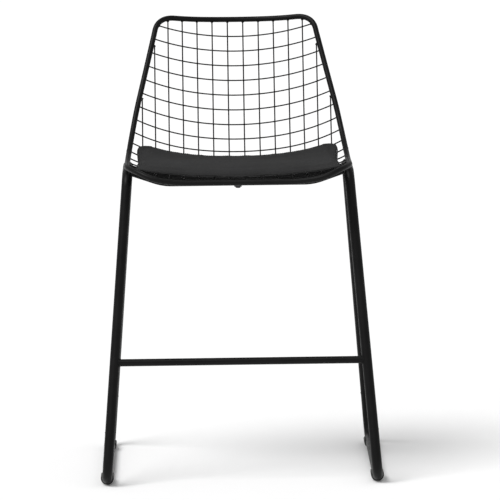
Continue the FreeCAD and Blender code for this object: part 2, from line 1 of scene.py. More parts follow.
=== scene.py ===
"""Dresses the counter stool: coated wire shell, side frames, fasteners, a loose seat pad and the studio."""

import logging
import math
from dataclasses import dataclass
from enum import Enum
from typing import Callable, Optional, Sequence

import bpy
import numpy as np
from mathutils import Matrix, Vector
from mathutils.kdtree import KDTree


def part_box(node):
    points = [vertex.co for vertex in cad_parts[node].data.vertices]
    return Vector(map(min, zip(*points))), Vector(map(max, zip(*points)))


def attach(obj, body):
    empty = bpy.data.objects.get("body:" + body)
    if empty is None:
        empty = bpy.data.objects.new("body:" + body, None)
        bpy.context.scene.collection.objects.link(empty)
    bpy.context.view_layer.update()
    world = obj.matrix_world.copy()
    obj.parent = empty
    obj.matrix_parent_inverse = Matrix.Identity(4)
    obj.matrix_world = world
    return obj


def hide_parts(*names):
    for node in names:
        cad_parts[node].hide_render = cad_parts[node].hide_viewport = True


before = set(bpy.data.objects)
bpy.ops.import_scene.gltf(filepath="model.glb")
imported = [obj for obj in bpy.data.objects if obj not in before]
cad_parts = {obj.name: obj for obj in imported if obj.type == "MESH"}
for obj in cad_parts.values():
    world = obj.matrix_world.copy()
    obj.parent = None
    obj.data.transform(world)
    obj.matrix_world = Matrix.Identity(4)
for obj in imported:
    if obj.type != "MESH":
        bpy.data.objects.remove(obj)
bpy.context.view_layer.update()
LOG = logging.getLogger("counter_stool")

# A distance in metres, then angles in degrees
MERGE = 1e-6
SOFT_EDGES = 60.0
HARD_EDGES = 35.0
FLAT_ANGLE = 0.5
EASE_ANGLE = 40.0
EASE_SEGMENTS = 3

Colour = tuple[float, float, float]
Ring = tuple[Vector, Vector, Vector, float]
Rings = Callable[[float], Ring]
Piece = bpy.types.Object
Finish = bpy.types.Material
Socket = bpy.types.NodeSocket


class Body(Enum):
    """The moving bodies that a piece can ride on."""

    FRAME = "frame"
    PAD = "seat_pad"


class Slot(Enum):
    """The record's material slots."""

    COAT = "black_coat"
    STEEL = "dark_steel"
    GLIDE = "glide_plastic"
    CLOTH = "pad_fabric"


class Side(Enum):
    """The stool's two sides, as signs along X."""

    LEFT = -1
    RIGHT = 1


class End(Enum):
    """The stool's front and rear, as signs along Y."""

    FRONT = -1
    REAR = 1


# Small helpers


def choose(piece: Piece) -> None:
    """Select one object alone and make it active.

    Args:
        piece: the object.
    """
    bpy.ops.object.select_all(action="DESELECT")
    piece.select_set(True)
    bpy.context.view_layer.objects.active = piece


def points_of(piece: Piece) -> np.ndarray:
    """Read a mesh object's vertices as rows of x, y, z.

    Args:
        piece: the mesh object.

    Returns:
        The vertices as an array.
    """
    flat = np.zeros(len(piece.data.vertices) * 3)
    piece.data.vertices.foreach_get("co", flat)
    return flat.reshape(-1, 3)


def set_points(piece: Piece, points: np.ndarray) -> None:
    """Write rows of x, y, z back to a mesh object's vertices."""
    piece.data.vertices.foreach_set("co", points.astype(np.float32).ravel())
    piece.data.update()


def settle(piece: Piece, smooth_angle: float) -> None:
    """Put a finished piece's place into its mesh, close its doubles and smooth it.

    Args:
        piece: the mesh object.
        smooth_angle: edges sharper than this, in degrees, stay sharp.
    """
    choose(piece)
    bpy.ops.object.transform_apply(location=True, rotation=True, scale=True)
    bpy.ops.object.mode_set(mode="EDIT")
    bpy.ops.mesh.select_all(action="SELECT")
    bpy.ops.mesh.remove_doubles(threshold=MERGE)
    bpy.ops.mesh.normals_make_consistent(inside=False)
    bpy.ops.object.mode_set(mode="OBJECT")
    bpy.ops.object.shade_smooth_by_angle(angle=math.radians(smooth_angle))


def hand_over(piece: Piece, body: Body, material: Finish) -> None:
    """Give a new piece its finish and the body that it rides on.

    Args:
        piece: the finished mesh object.
        body: the body that it moves with.
        material: its finish.
    """
    piece.data.materials.clear()
    piece.data.materials.append(material)
    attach(piece, body.value)
    LOG.info("%s: %d faces on %s", piece.name, len(piece.data.polygons), body.value)


def dress(name: str, material: Finish) -> None:
    """Give a CAD node its finish.

    Args:
        name: the node's name.
        material: the finish.
    """
    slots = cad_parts[name].data.materials
    slots.clear()
    slots.append(material)


def join(name: str, parts: Sequence[Piece]) -> Piece:
    """Join mesh objects into one that is named.

    Args:
        name: the joined object's name.
        parts: at least one mesh object.

    Returns:
        The joined object.
    """
    choose(parts[0])
    for part in parts:
        part.select_set(True)
    if len(parts) > 1:
        bpy.ops.object.join()
    joined = bpy.context.view_layer.objects.active
    joined.name = name
    joined.data.name = name
    return joined


def copies(pattern: Piece, places: Sequence[Matrix]) -> list[Piece]:
    """Copy a modelled piece to each place, each copy with its own mesh, and remove the pattern.

    Args:
        pattern: the piece, modelled at the origin.
        places: one transform for each copy.

    Returns:
        The copies.
    """
    made = []
    for place in places:
        mesh = pattern.data.copy()
        mesh.transform(place @ pattern.matrix_basis)
        copy = bpy.data.objects.new(pattern.name, mesh)
        bpy.context.scene.collection.objects.link(copy)
        made.append(copy)
    bpy.data.objects.remove(pattern)
    return made


def facing(place: Vector, along: Vector) -> Matrix:
    """Return the transform that takes +Z to a direction at a place."""
    return Matrix.Translation(place) @ along.to_track_quat("Z", "Y").to_matrix().to_4x4()


def ring_piece(name: str, rings: Rings, around: int, across: int) -> Piece:
    """A closed ring of any course, shaped from a torus.

    Args:
        name: the object's name.
        rings: gives for a turn from 0 to 1 the centre, two cross directions and the radius there.
        around: segments along the ring.
        across: segments round its section.

    Returns:
        The ring as a mesh object.
    """
    bpy.ops.object.select_all(action="DESELECT")
    bpy.ops.mesh.primitive_torus_add(
        major_segments=around, minor_segments=across, major_radius=1.0, minor_radius=0.25
    )
    ring = bpy.context.active_object
    ring.name = name
    shaped = []
    for x, y, z in points_of(ring):
        centre, first, second, radius = rings((math.atan2(y, x) / (2 * math.pi)) % 1.0)
        angle = math.atan2(z, math.hypot(x, y) - 1.0)
        shaped.append(centre + (first * math.cos(angle) + second * math.sin(angle)) * radius)
    set_points(ring, np.array(shaped))
    return ring


def eased(name: str, node: str, width: float) -> Piece:
    """A CAD node's shape with its sharp edges rounded, which takes the node's place.

    Args:
        name: the new piece's name.
        node: the CAD node.
        width: how wide the rounding is.

    Returns:
        The piece as a mesh object.
    """
    piece = bpy.data.objects.new(name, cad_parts[node].data.copy())
    bpy.context.scene.collection.objects.link(piece)
    choose(piece)
    bpy.ops.object.mode_set(mode="EDIT")
    bpy.ops.mesh.select_all(action="SELECT")
    bpy.ops.mesh.remove_doubles(threshold=MERGE)
    bpy.ops.mesh.dissolve_limited(angle_limit=math.radians(FLAT_ANGLE))
    bpy.ops.object.mode_set(mode="OBJECT")
    rounding = piece.modifiers.new("rounding", "BEVEL")
    rounding.width = width
    rounding.segments = EASE_SEGMENTS
    rounding.limit_method = "ANGLE"
    rounding.angle_limit = math.radians(EASE_ANGLE)
    bpy.ops.object.modifier_apply(modifier=rounding.name)
    settle(piece, HARD_EDGES)
    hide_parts(node)
    return piece


# Finishes


class Nodes:
    """A short way to write a material's node tree around one Principled shader."""

    def __init__(self, name: str) -> None:
        """Make an empty material with its shader and Object coordinates.

        Args:
            name: the material's name.
        """
        self.material = bpy.data.materials.new(name)
        self.material.use_nodes = True
        self.tree = self.material.node_tree
        self.tree.nodes.clear()
        output = self.tree.nodes.new("ShaderNodeOutputMaterial")
        self.shader = self.tree.nodes.new("ShaderNodeBsdfPrincipled")
        self.tree.links.new(self.shader.outputs[0], output.inputs[0])
        self.place = self.tree.nodes.new("ShaderNodeTexCoord").outputs["Object"]

    def feed(self, socket: Socket, value: object) -> None:
        """Link an output to a socket, or set a plain value on it.

        Args:
            socket: the input.
            value: an output to link, or a plain value to set.
        """
        if isinstance(value, Socket):
            self.tree.links.new(value, socket)
        else:
            socket.default_value = value

    def give(self, name: str, value: object) -> None:
        """Feed one of the shader's sockets."""
        self.feed(self.shader.inputs[name], value)

    def stretch(self, scale: Colour) -> Socket:
        """Return Object coordinates scaled along X, Y and Z.

        Args:
            scale: the three factors.

        Returns:
            The scaled coordinates.
        """
        node = self.tree.nodes.new("ShaderNodeMapping")
        self.feed(node.inputs["Vector"], self.place)
        node.inputs["Scale"].default_value = scale
        return node.outputs[0]

    def noise(self, scale: float, detail: float = 2.0, place: Optional[Socket] = None) -> Socket:
        """Add a noise.

        Args:
            scale: grains to the metre.
            detail: how many finer layers it has.
            place: the coordinates, if not the plain ones.

        Returns:
            The noise's value.
        """
        node = self.tree.nodes.new("ShaderNodeTexNoise")
        self.feed(node.inputs["Vector"], place or self.place)
        node.inputs["Scale"].default_value = scale
        node.inputs["Detail"].default_value = detail
        return node.outputs[0]

    def math(self, operation: str, first: object, second: object = 0.0) -> Socket:
        """Add a Math node.

        Args:
            operation: the node's operation.
            first: a value or an output.
            second: a value or an output.

        Returns:
            The result.
        """
        node = self.tree.nodes.new("ShaderNodeMath")
        node.operation = operation
        self.feed(node.inputs[0], first)
        self.feed(node.inputs[1], second)
        return node.outputs[0]

    def ramp(self, value: object, low: float, high: float, out_low: float, out_high: float) -> Socket:
        """Map a value from one range to another and hold it at the ends.

        Args:
            value: a value or an output.
            low: where the first range starts.
            high: where it ends.
            out_low: where the second range starts.
            out_high: where it ends.

        Returns:
            The mapped value.
        """
        node = self.tree.nodes.new("ShaderNodeMapRange")
        for socket, number in zip(node.inputs, (value, low, high, out_low, out_high)):
            self.feed(socket, number)
        return node.outputs[0]

    def mix(self, share: object, first: object, second: object) -> Socket:
        """Mix two colours.

        Args:
            share: how much of the second there is.
            first: a colour or an output.
            second: a colour or an output.

        Returns:
            The mixed colour.
        """
        node = self.tree.nodes.new("ShaderNodeMix")
        node.data_type = "RGBA"
        for index, value in ((0, share), (6, first), (7, second)):
            if isinstance(value, tuple):
                value = (*value, 1.0)
            self.feed(node.inputs[index], value)
        return node.outputs[2]

    def bump(self, height: Socket, depth: float, before: Optional[Socket] = None) -> Socket:
        """Bump the surface.

        Args:
            height: the heights.
            depth: how deep they are, in metres.
            before: a normal that is bumped already.

        Returns:
            The normal.
        """
        node = self.tree.nodes.new("ShaderNodeBump")
        node.inputs["Distance"].default_value = depth
        self.feed(node.inputs["Height"], height)
        if before is not None:
            self.feed(node.inputs["Normal"], before)
        return node.outputs[0]

    def axis(self, name: str, normal: bool = False) -> Socket:
        """Take one axis of the place, or of the surface's normal.

        Args:
            name: X, Y or Z.
            normal: whether it is the surface normal's.

        Returns:
            The value.
        """
        node = self.tree.nodes.new("ShaderNodeSeparateXYZ")
        source = self.place
        if normal:
            source = self.tree.nodes.new("ShaderNodeNewGeometry").outputs["Normal"]
        self.feed(node.inputs[0], source)
        return node.outputs[name]


@dataclass(frozen=True)
class PowderCoat:
    """Satin black powder coat: a fine pebbled skin with faint clouds, dust and scuffs."""

    name: str = "satin_powder_coat"
    dark: Colour = (0.0025, 0.0025, 0.0026)
    light: Colour = (0.006, 0.0059, 0.006)
    dust: Colour = (0.04, 0.039, 0.036)
    roughness: float = 0.4
    shine: float = 0.13
    pebble_grain: float = 1500.0
    pebble_depth: float = 0.00012
    cloud_grain: float = 14.0
    speck_grain: float = 420.0
    gloss_grain: float = 60.0
    streak_grain: float = 90.0
    scuffs: float = 0.0

    def material(self) -> Finish:
        """Make the finish.

        Returns:
            The node material.
        """
        nodes = Nodes(self.name)
        clouds = nodes.noise(self.cloud_grain, 4.0)
        colour = nodes.mix(nodes.ramp(clouds, 0.3, 0.7, 0.0, 1.0), self.dark, self.light)
        upward = nodes.ramp(nodes.axis("Z", normal=True), 0.55, 1.0, 0.0, 1.0)
        specks = nodes.ramp(nodes.noise(self.speck_grain, 3.0), 0.62, 0.75, 0.0, 0.22)
        colour = nodes.mix(nodes.math("MULTIPLY", upward, specks), colour, self.dust)
        gloss = nodes.noise(self.gloss_grain, 3.0)
        rough = nodes.ramp(gloss, 0.3, 0.7, self.roughness - 0.05, self.roughness + 0.07)
        if self.scuffs > 0:
            streaks = nodes.noise(self.streak_grain, 4.0, nodes.stretch((0.12, 1.0, 1.0)))
            worn = nodes.math("MULTIPLY", nodes.ramp(streaks, 0.56, 0.66, 0.0, self.scuffs), upward)
            colour = nodes.mix(worn, colour, self.dust)
            rough = nodes.math("ADD", rough, nodes.math("MULTIPLY", worn, 0.25))
        pebble = nodes.noise(self.pebble_grain, 1.0)
        nodes.give("Base Color", colour)
        nodes.give("Roughness", rough)
        nodes.give("Normal", nodes.bump(pebble, self.pebble_depth))
        nodes.give("Specular IOR Level", self.shine)
        return nodes.material


@dataclass(frozen=True)
class DarkSteel:
    """Black-oxide steel with a fine turned grain."""

    name: str = "black_oxide_steel"
    dark: Colour = (0.03, 0.03, 0.032)
    light: Colour = (0.075, 0.075, 0.08)
    roughness: float = 0.4
    metal: float = 0.85
    blotch_grain: float = 700.0
    turned_grain: float = 2400.0
    turned_depth: float = 0.00004

    def material(self) -> Finish:
        """Make the finish.

        Returns:
            The node material.
        """
        nodes = Nodes(self.name)
        blotch = nodes.noise(self.blotch_grain, 4.0)
        grain = nodes.noise(self.turned_grain, 2.0, nodes.stretch((1.0, 1.0, 0.1)))
        nodes.give("Base Color", nodes.mix(blotch, self.dark, self.light))
        nodes.give("Metallic", self.metal)
        rough = nodes.ramp(grain, 0.3, 0.7, self.roughness - 0.08, self.roughness + 0.1)
        nodes.give("Roughness", rough)
        nodes.give("Normal", nodes.bump(grain, self.turned_depth))
        return nodes.material


@dataclass(frozen=True)
class MouldedPlastic:
    """Matt black moulded plastic with a spark-eroded grain and a scuffed sole."""

    name: str = "moulded_glide_plastic"
    dark: Colour = (0.013, 0.013, 0.013)
    light: Colour = (0.026, 0.026, 0.025)
    scuffed: Colour = (0.075, 0.073, 0.07)
    sole_height: float = 0.006
    mould_grain: float = 2600.0
    mould_depth: float = 0.00008
    mark_grain: float = 300.0

    def material(self) -> Finish:
        """Make the finish.

        Returns:
            The node material.
        """
        nodes = Nodes(self.name)
        grain = nodes.noise(self.mould_grain, 2.0)
        colour = nodes.mix(nodes.ramp(grain, 0.3, 0.7, 0.0, 1.0), self.dark, self.light)
        low = nodes.ramp(nodes.axis("Z"), 0.0, self.sole_height, 1.0, 0.0)
        drawn = nodes.noise(self.mark_grain, 4.0, nodes.stretch((1.0, 0.2, 1.0)))
        marks = nodes.ramp(drawn, 0.5, 0.68, 0.0, 0.8)
        colour = nodes.mix(nodes.math("MULTIPLY", low, marks), colour, self.scuffed)
        nodes.give("Base Color", colour)
        nodes.give("Roughness", nodes.ramp(grain, 0.3, 0.7, 0.52, 0.68))
        nodes.give("Normal", nodes.bump(grain, self.mould_depth))
        return nodes.material


@dataclass(frozen=True)
class WovenCloth:
    """Close plain-woven cloth in charcoal, with flecked yarn, a soft nap and a faint sheen."""

    name: str = "charcoal_woven_cloth"
    dark: Colour = (0.018, 0.018, 0.0183)
    light: Colour = (0.042, 0.042, 0.0425)
    yarn: float = 0.0011
    yarn_depth: float = 0.00022
    nap_depth: float = 0.0002
    wander_grain: float = 70.0
    fleck_grain: float = 900.0
    cloud_grain: float = 9.0
    sheen: float = 0.02
    shine: float = 0.05

    def material(self) -> Finish:
        """Make the finish.

        Returns:
            The node material.
        """
        nodes = Nodes(self.name)
        turn = 2 * math.pi / (2 * self.yarn)
        wander = nodes.math("MULTIPLY", nodes.noise(self.wander_grain, 2.0), 3.0)
        warp = nodes.math("SINE", nodes.math("ADD", nodes.math("MULTIPLY", nodes.axis("X"), turn), wander))
        weft = nodes.math("SINE", nodes.math("ADD", nodes.math("MULTIPLY", nodes.axis("Y"), turn), wander))
        over = nodes.math("MULTIPLY", warp, weft)
        ribs = nodes.math("ADD", nodes.math("ABSOLUTE", warp), nodes.math("ABSOLUTE", weft))
        weave = nodes.math("ADD", nodes.math("MULTIPLY", over, 0.5), nodes.math("MULTIPLY", ribs, 0.35))
        flecks = nodes.noise(self.fleck_grain, 3.0)
        tone = nodes.ramp(nodes.math("ADD", nodes.math("MULTIPLY", weave, 0.22), flecks), 0.3, 1.0, 0.0, 1.0)
        cloud = nodes.ramp(nodes.noise(self.cloud_grain, 3.0), 0.35, 0.65, -0.12, 0.12)
        tone = nodes.math("ADD", tone, cloud)
        nodes.give("Base Color", nodes.mix(tone, self.dark, self.light))
        nodes.give("Roughness", nodes.ramp(flecks, 0.3, 0.7, 0.82, 0.95))
        nodes.give("Specular IOR Level", self.shine)
        nodes.give("Sheen Weight", self.sheen)
        nodes.give("Sheen Roughness", 0.5)
        nap = nodes.bump(flecks, self.nap_depth)
        nodes.give("Normal", nodes.bump(weave, self.yarn_depth, nap))
        return nodes.material


# Welds


@dataclass
class Tube:
    """A straight stretch of round tube: a point of its axis, its direction and its radius."""

    point: Vector
    along: Vector
    radius: float

    def gap(self, place: Vector) -> float:
        """Return how far a place is outside the tube's surface.

        Args:
            place: any place.

        Returns:
            The distance, less than zero inside.
        """
        away = place - self.point
        away -= self.along * away.dot(self.along)
        return away.length - self.radius


@dataclass
class Welds:
    """The beads where wires, rods and tubes are joined."""

    bead: float = 0.0017
    ripple: float = 0.16
    ripples: int = 22
    nugget: float = 0.0031
    nugget_start: float = -0.0014
    bead_step: float = 0.004
    bead_segments: tuple[int, int] = (132, 10)
    seam_segments: tuple[int, int] = (96, 8)
    seam_sink: float = 0.35

    def saddle(self, name: str, branch: Tube, host: Tube) -> Piece:
        """A rippled bead round the end of a tube that is welded to another.

        Args:
            name: the bead's name.
            branch: the tube that ends, its point well outside the host and its direction towards it.
            host: the tube that it ends on.

        Returns:
            The bead as a mesh object.
        """
        first = branch.along.orthogonal().normalized()
        second = branch.along.cross(first)

        def foot(turn: float) -> Vector:
            """Return where the branch's wall meets the host at a turn.

            Args:
                turn: from 0 to 1 round the branch.

            Returns:
                The place.
            """
            angle = turn * 2 * math.pi
            start = branch.point + (first * math.cos(angle) + second * math.sin(angle)) * branch.radius
            near, far = 0.0, (host.point - start).dot(branch.along)
            for _ in range(40):
                middle = (near + far) / 2
                if host.gap(start + branch.along * middle) > 0:
                    near = middle
                else:
                    far = middle
            return start + branch.along * near

        def rings(turn: float) -> Ring:
            """Return the bead's centre, cross directions and radius at a turn.

            Args:
                turn: from 0 to 1 round the branch.

            Returns:
                The ring there.
            """
            centre = foot(turn)
            along = (foot(turn + self.bead_step) - foot(turn - self.bead_step)).normalized()
            out = centre - branch.point
            out = (out - branch.along * out.dot(branch.along)).normalized()
            radius = self.bead * (1 + self.ripple * math.sin(turn * self.ripples * 2 * math.pi))
            return centre, out, along.cross(out), radius

        return ring_piece(name, rings, *self.bead_segments)

    def seam(self, name: str, place: Vector, along: Vector, radius: float, bead: float) -> Piece:
        """A dressed butt weld round a tube or rod.

        Args:
            name: the seam's name.
            place: the seam's centre.
            along: the tube's direction there.
            radius: the tube's radius.
            bead: the bead's radius.

        Returns:
            The seam as a mesh object.
        """
        first = along.orthogonal().normalized()
        second = along.cross(first)

        def rings(turn: float) -> Ring:
            """Return the seam's centre, cross directions and radius at a turn.

            Args:
                turn: from 0 to 1 round the tube.

            Returns:
                The ring there.
            """
            out = first * math.cos(turn * 2 * math.pi) + second * math.sin(turn * 2 * math.pi)
            swell = 1 + self.ripple * math.sin(turn * self.ripples * 2 * math.pi)
            return place + out * (radius - bead * self.seam_sink), out, along, bead * swell

        return ring_piece(name, rings, *self.seam_segments)

    def nugget_pattern(self) -> Piece:
        """Model the flared drop of weld round a wire's end, at the origin.

        Returns:
            The drop, with the wire along +Z.
        """
        bpy.ops.object.select_all(action="DESELECT")
        bpy.ops.mesh.primitive_circle_add(
            vertices=12, radius=self.nugget * 0.8, fill_type="NGON", location=(0, 0, self.nugget_start)
        )
        drop = bpy.context.active_object
        drop.name = "wire_weld"
        bpy.ops.object.mode_set(mode="EDIT")
        bpy.ops.mesh.select_all(action="SELECT")
        for rise, grow in ((0.0012, 1.25), (0.0006, 0.86), (0.0008, 0.76), (0.001, 0.84), (0.0009, 0.88)):
            bpy.ops.mesh.extrude_region_move(TRANSFORM_OT_translate={"value": (0, 0, rise)})
            bpy.ops.transform.resize(value=(grow, grow, 1))
        bpy.ops.object.mode_set(mode="OBJECT")
        return drop


@dataclass
class WireShell:
    """The bucket of welded wires inside its rim."""

    end_reach: float = 0.0055
    cap_reach: float = 0.0032
    back_from: float = 0.005
    back_to: float = 0.021
    rim_radius: float = 0.006
    seam_bead: float = 0.0008
    seam_reach: float = 0.0004
    seam_look: float = 0.02

    def nodes(self) -> list[str]:
        """Return the names of the shell's CAD nodes."""
        return [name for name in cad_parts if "wire_" in name] + ["back_hoop", "seat_hoop"]

    def wire_end(self, name: str, axis: int, sign: int) -> tuple[Vector, Vector]:
        """Find an end of a wire.

        Args:
            name: the wire's node.
            axis: 0, 1 or 2, the axis along which the end lies furthest.
            sign: -1 or 1, the way that the end lies along it.

        Returns:
            The end's middle and the direction from it back along the wire.
        """
        points = points_of(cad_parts[name])
        reach = points[:, axis] * sign
        tip = points[reach.argmax()]
        span = np.linalg.norm(points - tip, axis=1)
        near = points[span < self.end_reach]
        far = points[(span > self.back_from) & (span < self.back_to)]
        cap = points[span < self.cap_reach]
        middle, back = Vector(near.mean(axis=0)), Vector(far.mean(axis=0))
        along = (back - middle).normalized()
        ahead = min((Vector(point) - middle).dot(along) for point in cap)
        return middle + along * ahead, along

    def build(self, welds: Welds, coat: Finish) -> None:
        """Dress the shell's nodes and add the welds at the wires' ends.

        Args:
            welds: the beads' sizes.
            coat: the finish.
        """
        places = []
        for name in self.nodes():
            dress(name, coat)
            if name.startswith("cross_wire"):
                ends = [(0, -1), (0, 1)]
            elif name.startswith("long_wire"):
                ends = [(1, -1), (2, 1)]
            else:
                continue
            places += [facing(*self.wire_end(name, axis, sign)) for axis, sign in ends]
        nuggets = copies(welds.nugget_pattern(), places)
        beads = join("wire_welds", nuggets + [self.rim_seam(welds, side) for side in Side])
        settle(beads, SOFT_EDGES)
        hand_over(beads, Body.FRAME, coat)

    def rim_seam(self, welds: Welds, side: Side) -> Piece:
        """The dressed weld where the seat hoop's end meets the back hoop's.

        Args:
            welds: the beads' sizes.
            side: the side of the stool.

        Returns:
            The seam as a mesh object.
        """
        hoops = [points_of(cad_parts[name]) for name in ("seat_hoop", "back_hoop")]
        seat, back = [hoop[hoop[:, 0] * side.value > 0] for hoop in hoops]
        tree = KDTree(len(back))
        for index, point in enumerate(back):
            tree.insert(point, index)
        tree.balance()
        gaps = np.array([tree.find(point)[2] for point in seat])
        place = seat[gaps < gaps.min() + self.seam_reach].mean(axis=0)
        near = [hoop[np.linalg.norm(hoop - place, axis=1) < self.seam_look] for hoop in (seat, back)]
        along = Vector(near[1].mean(axis=0) - near[0].mean(axis=0)).normalized()
        return welds.seam("rim_seam", Vector(place), along, self.rim_radius, self.seam_bead)


@dataclass
class SideFrames:
    """The two leaning side frames, the footrest and the tubes under the seat, in metres."""

    tube: float = 0.011
    footrest: float = 0.008
    cross_tube: float = 0.006
    floor_span: float = 0.294
    top_span: float = 0.2425
    top_height: float = 0.662
    top_reach: float = 0.09
    runner_reach: float = 0.278
    runner_height: float = 0.0135
    runner_bend: float = 0.036
    upturn: float = 0.06
    footrest_height: float = 0.2635
    cross_reach: float = 0.05
    cross_flat: float = 0.165
    block_easing: float = 0.0012
    leg_bead: float = 0.0009
    footrest_run: float = 0.06
    cross_run: float = 0.04

    def foot(self, side: Side, end: End) -> Vector:
        """Return a runner's corner before it is rounded."""
        return Vector((side.value * self.floor_span, end.value * self.runner_reach, self.runner_height))

    def leg(self, side: Side, end: End) -> Tube:
        """Return a leg's straight stretch, upwards from the foot.

        Args:
            side: the side of the stool.
            end: its front or rear.

        Returns:
            The stretch of tube.
        """
        foot = self.foot(side, end)
        top = Vector((side.value * self.top_span, end.value * self.top_reach, self.top_height))
        return Tube(foot, (top - foot).normalized(), self.tube)

    def seam_place(self, side: Side, end: End) -> Vector:
        """Return the place on a leg where the hoop meets the runner.

        Args:
            side: the side of the stool.
            end: its front or rear.

        Returns:
            The seam's centre.
        """
        leg = self.leg(side, end)
        half = leg.along.angle(Vector((0, -end.value, 0))) / 2
        return leg.point + leg.along * (self.runner_bend / math.tan(half) + self.upturn)

    def build(self, welds: Welds, coat: Finish, worn: Finish) -> None:
        """Dress the frames' nodes and add the welds at the tubes' joints.

        Args:
            welds: the beads' sizes.
            coat: the finish of the frames.
            worn: the finish of the footrest, which shoes rub.
        """
        for name in ("leg_hoop_left", "leg_hoop_right", "front_cross_tube", "rear_cross_tube"):
            dress(name, coat)
        for end in ("front", "rear"):
            block = eased(end + "_block", end + "_shell_block", self.block_easing)
            hand_over(block, Body.FRAME, coat)
        for name in ("runner_left", "runner_right", "footrest_bar"):
            dress(name, worn)
        parts = []
        for side in Side:
            parts.append(self.footrest_weld(welds, side))
            for end in End:
                parts.append(self.cross_tube_weld(welds, side, end))
                leg = self.leg(side, end)
                place = self.seam_place(side, end)
                parts.append(welds.seam("leg_seam", place, leg.along, self.tube, self.leg_bead))
        beads = join("frame_welds", parts)
        settle(beads, SOFT_EDGES)
        hand_over(beads, Body.FRAME, coat)

    def footrest_weld(self, welds: Welds, side: Side) -> Piece:
        """The bead where the footrest meets a front leg.

        Args:
            welds: the beads' sizes.
            side: the side of the stool.

        Returns:
            The bead as a mesh object.
        """
        leg = self.leg(side, End.FRONT)
        share = (self.footrest_height - leg.point.z) / leg.along.z
        joint = leg.point + leg.along * share
        out = Vector((side.value, 0, 0))
        host = Tube(joint, leg.along, self.tube)
        branch = Tube(joint - out * self.footrest_run, out, self.footrest)
        return welds.saddle("footrest_weld", branch, host)

    def cross_tube_weld(self, welds: Welds, side: Side, end: End) -> Piece:
        """The bead where a tube under the seat meets the top of a side frame.

        Args:
            welds: the beads' sizes.
            side: the side of the stool.
            end: its front or rear.

        Returns:
            The bead as a mesh object.
        """
        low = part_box(end.name.lower() + "_cross_tube")[0]
        joint = Vector((side.value * self.top_span, end.value * self.cross_reach, self.top_height))
        bend = Vector((side.value * self.cross_flat, end.value * self.cross_reach, low.z + self.cross_tube))
        out = (joint - bend).normalized()
        host = Tube(joint, Vector((0, 1, 0)), self.tube)
        branch = Tube(joint - out * self.cross_run, out, self.cross_tube)
        return welds.saddle("cross_tube_weld", branch, host)


@dataclass
class Fasteners:
    """The shell bolts with their socket heads, their washers and the glides."""

    head_radius: float = 0.0055
    head_height: float = 0.003
    socket_radius: float = 0.0023
    socket_depth: float = 0.002
    shank_radius: float = 0.003
    shank_length: float = 0.016
    glide_easing: float = 0.0007
    head_slice: float = 0.0006
    tip_slice: float = 0.0004

    def bolt_pattern(self) -> Piece:
        """Model a button-head bolt at the origin.

        Returns:
            The bolt, with its head's underside at zero and its shank along +Z.
        """
        bpy.ops.object.select_all(action="DESELECT")
        bpy.ops.mesh.primitive_circle_add(
            vertices=36, radius=self.shank_radius, fill_type="NGON", location=(0, 0, self.shank_length)
        )
        bolt = bpy.context.active_object
        bolt.name = "socket_bolt"
        head = self.head_radius / self.shank_radius
        mouth = self.socket_radius * 1.25 / (self.head_radius * 0.648)
        dome = (
            (-self.shank_length, 1.0),
            (0.0, head),
            (-self.head_height * 0.45, 1.0),
            (-self.head_height * 0.35, 0.9),
            (-self.head_height * 0.2, 0.72),
            (0.0, mouth),
            (0.0, 0.8),
            (self.socket_depth, 1.0),
            (self.socket_depth * 0.3, 0.35),
        )
        bpy.ops.object.mode_set(mode="EDIT")
        bpy.ops.mesh.select_all(action="SELECT")
        for rise, grow in dome:
            bpy.ops.mesh.extrude_region_move(TRANSFORM_OT_translate={"value": (0, 0, rise)})
            bpy.ops.transform.resize(value=(grow, grow, 1))
        bpy.ops.object.mode_set(mode="OBJECT")
        self.hexagon_socket(bolt)
        return bolt

    def hexagon_socket(self, bolt: Piece) -> None:
        """Turn the bolt's round socket into a hexagon.

        Args:
            bolt: the bolt, changed in place.
        """
        points = points_of(bolt)
        span = np.hypot(points[:, 0], points[:, 1])
        inside = (span < self.socket_radius * 1.05) & (span > self.socket_radius * 0.5) & (points[:, 2] < 0)
        angle = np.arctan2(points[:, 1], points[:, 0])
        sector = np.mod(angle, math.pi / 3) - math.pi / 6
        flat = self.socket_radius * math.cos(math.pi / 6) / np.cos(sector)
        shrink = np.where(inside, flat / np.maximum(span, 1e-9), 1.0)
        points[:, 0] *= shrink
        points[:, 1] *= shrink
        set_points(bolt, points)

    def build(self, steel: Finish, plastic: Finish) -> None:
        """Dress the washers and glides and put a socket bolt in place of each plain one.

        Args:
            steel: the finish of bolts and washers.
            plastic: the finish of the glides.
        """
        dress("saddle_washers", steel)
        for name in [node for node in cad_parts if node.startswith("glide_")]:
            hand_over(eased("jaw_" + name, name, self.glide_easing), Body.FRAME, plastic)
        points = points_of(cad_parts["shell_bolts"])
        places = []
        for end in End:
            half = points[points[:, 1] * end.value > 0]
            low = half[half[:, 2] < half[:, 2].min() + self.head_slice]
            high = half[half[:, 2] > half[:, 2].max() - self.tip_slice]
            along = (Vector(high.mean(axis=0)) - Vector(low.mean(axis=0))).normalized()
            places.append(facing(Vector(low.mean(axis=0)) + along * self.head_height, along))
        bolts = join("socket_bolts", copies(self.bolt_pattern(), places))
        settle(bolts, HARD_EDGES)
        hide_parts("shell_bolts")
        hand_over(bolts, Body.FRAME, steel)


